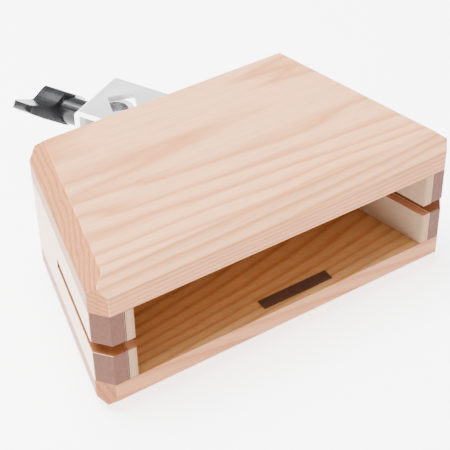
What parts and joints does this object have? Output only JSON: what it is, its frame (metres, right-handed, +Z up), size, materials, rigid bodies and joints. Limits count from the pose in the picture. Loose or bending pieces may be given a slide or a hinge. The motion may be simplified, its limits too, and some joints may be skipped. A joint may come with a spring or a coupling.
{
  "type": "wood block",
  "caption": "Tapered ash wood block with an open front, saw-cut sound slots and a rear steel rod clamp tightened by a plastic wing nut",
  "frame": {"origin": "the middle of the bottom face", "axes": "+Z up, the open front faces -Y, the clamp is at +Y, +X is to the right seen from the front"},
  "size_m": [0.1924, 0.1963, 0.078],
  "materials": {
    "ash": "sanded ash under thin clear lacquer",
    "ash_end_grain": "ash side boards with darker end grain",
    "plywood": "thin plywood liner",
    "label": "bare dark brown label",
    "plated_steel": "bright plated steel",
    "black_plastic": "glossy black moulded plastic",
    "brass": "machined brass"
  },
  "bodies": {
    "block": {"top_board": "ash", "bottom_board": "ash", "left_side_board": "ash_end_grain", "right_side_board": "ash_end_grain", "back_board": "ash_end_grain", "left_liner": "plywood", "right_liner": "plywood", "floor_label": "label", "mounting_plate": "plated_steel", "plate_screw_1": "plated_steel", "plate_screw_2": "plated_steel", "plate_screw_3": "plated_steel", "plate_screw_4": "plated_steel", "clamp_channel": "plated_steel", "washer": "plated_steel"},
    "eye": {"eye_bolt": "plated_steel"},
    "wing": {"wing_nut": "black_plastic", "wing_nut_insert": "brass"}
  },
  "joints": [
    {"name": "wing_turn", "type": "hinge", "parent": "block", "child": "wing", "pos_m": [-0.0142, 0.0994, 0.039], "axis": [-0.4648, 0.8854, 0], "range_deg": [0, 2880]},
    {"name": "eye_travel", "type": "slide", "parent": "block", "child": "eye", "axis": [-0.4648, 0.8854, 0], "range_m": [-0.00805, 0]}
  ],
  "couplings": [
    {"joint": "eye_travel", "follows": "wing_turn", "m_per_rad": -0.00015915}
  ]
}
